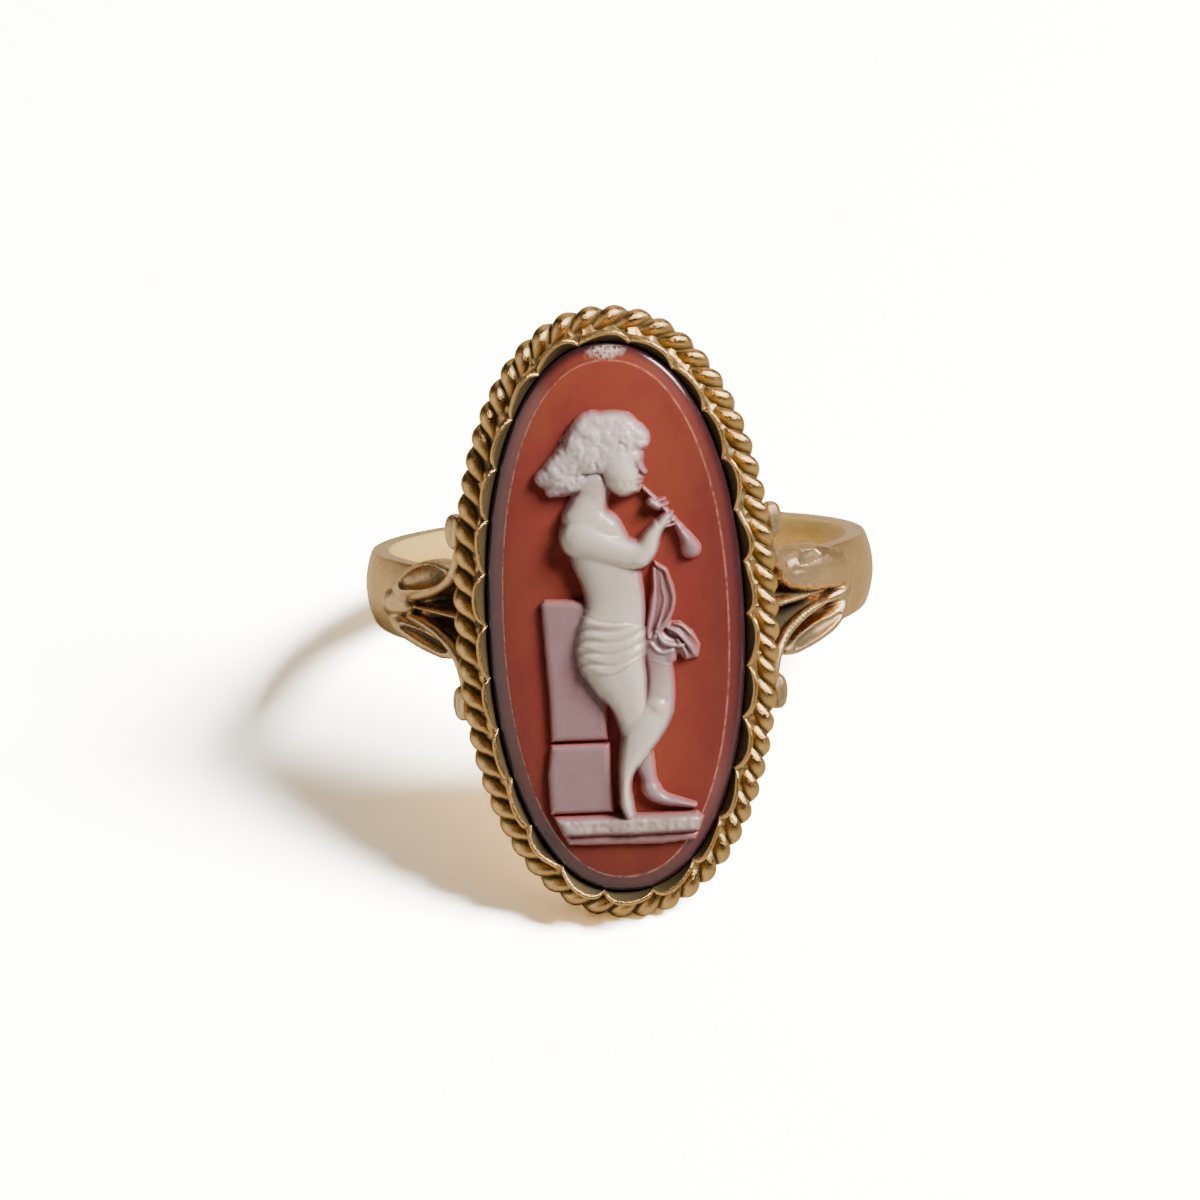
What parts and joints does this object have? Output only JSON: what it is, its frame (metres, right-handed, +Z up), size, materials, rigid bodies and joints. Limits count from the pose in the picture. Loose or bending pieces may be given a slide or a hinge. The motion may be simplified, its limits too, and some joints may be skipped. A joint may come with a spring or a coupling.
{
  "type": "cameo ring",
  "caption": "Finger ring with a long oval cameo of banded stone in a scalloped gold bezel with a twisted wire border and fan shoulders.",
  "frame": {"origin": "on the surface that the ring lies on, under the middle of the space it takes up", "axes": "+Z up, -Y to the front where the head leans back, X across the head"},
  "size_m": [0.02, 0.0244, 0.0205],
  "materials": {
    "gold": "polished, worn",
    "carnelian": "polished",
    "pale_layer": "satin"
  },
  "bodies": {
    "root": {"ring_mount": "gold", "carnelian_ground": "carnelian", "cameo_relief": "pale_layer"}
  },
  "joints": []
}
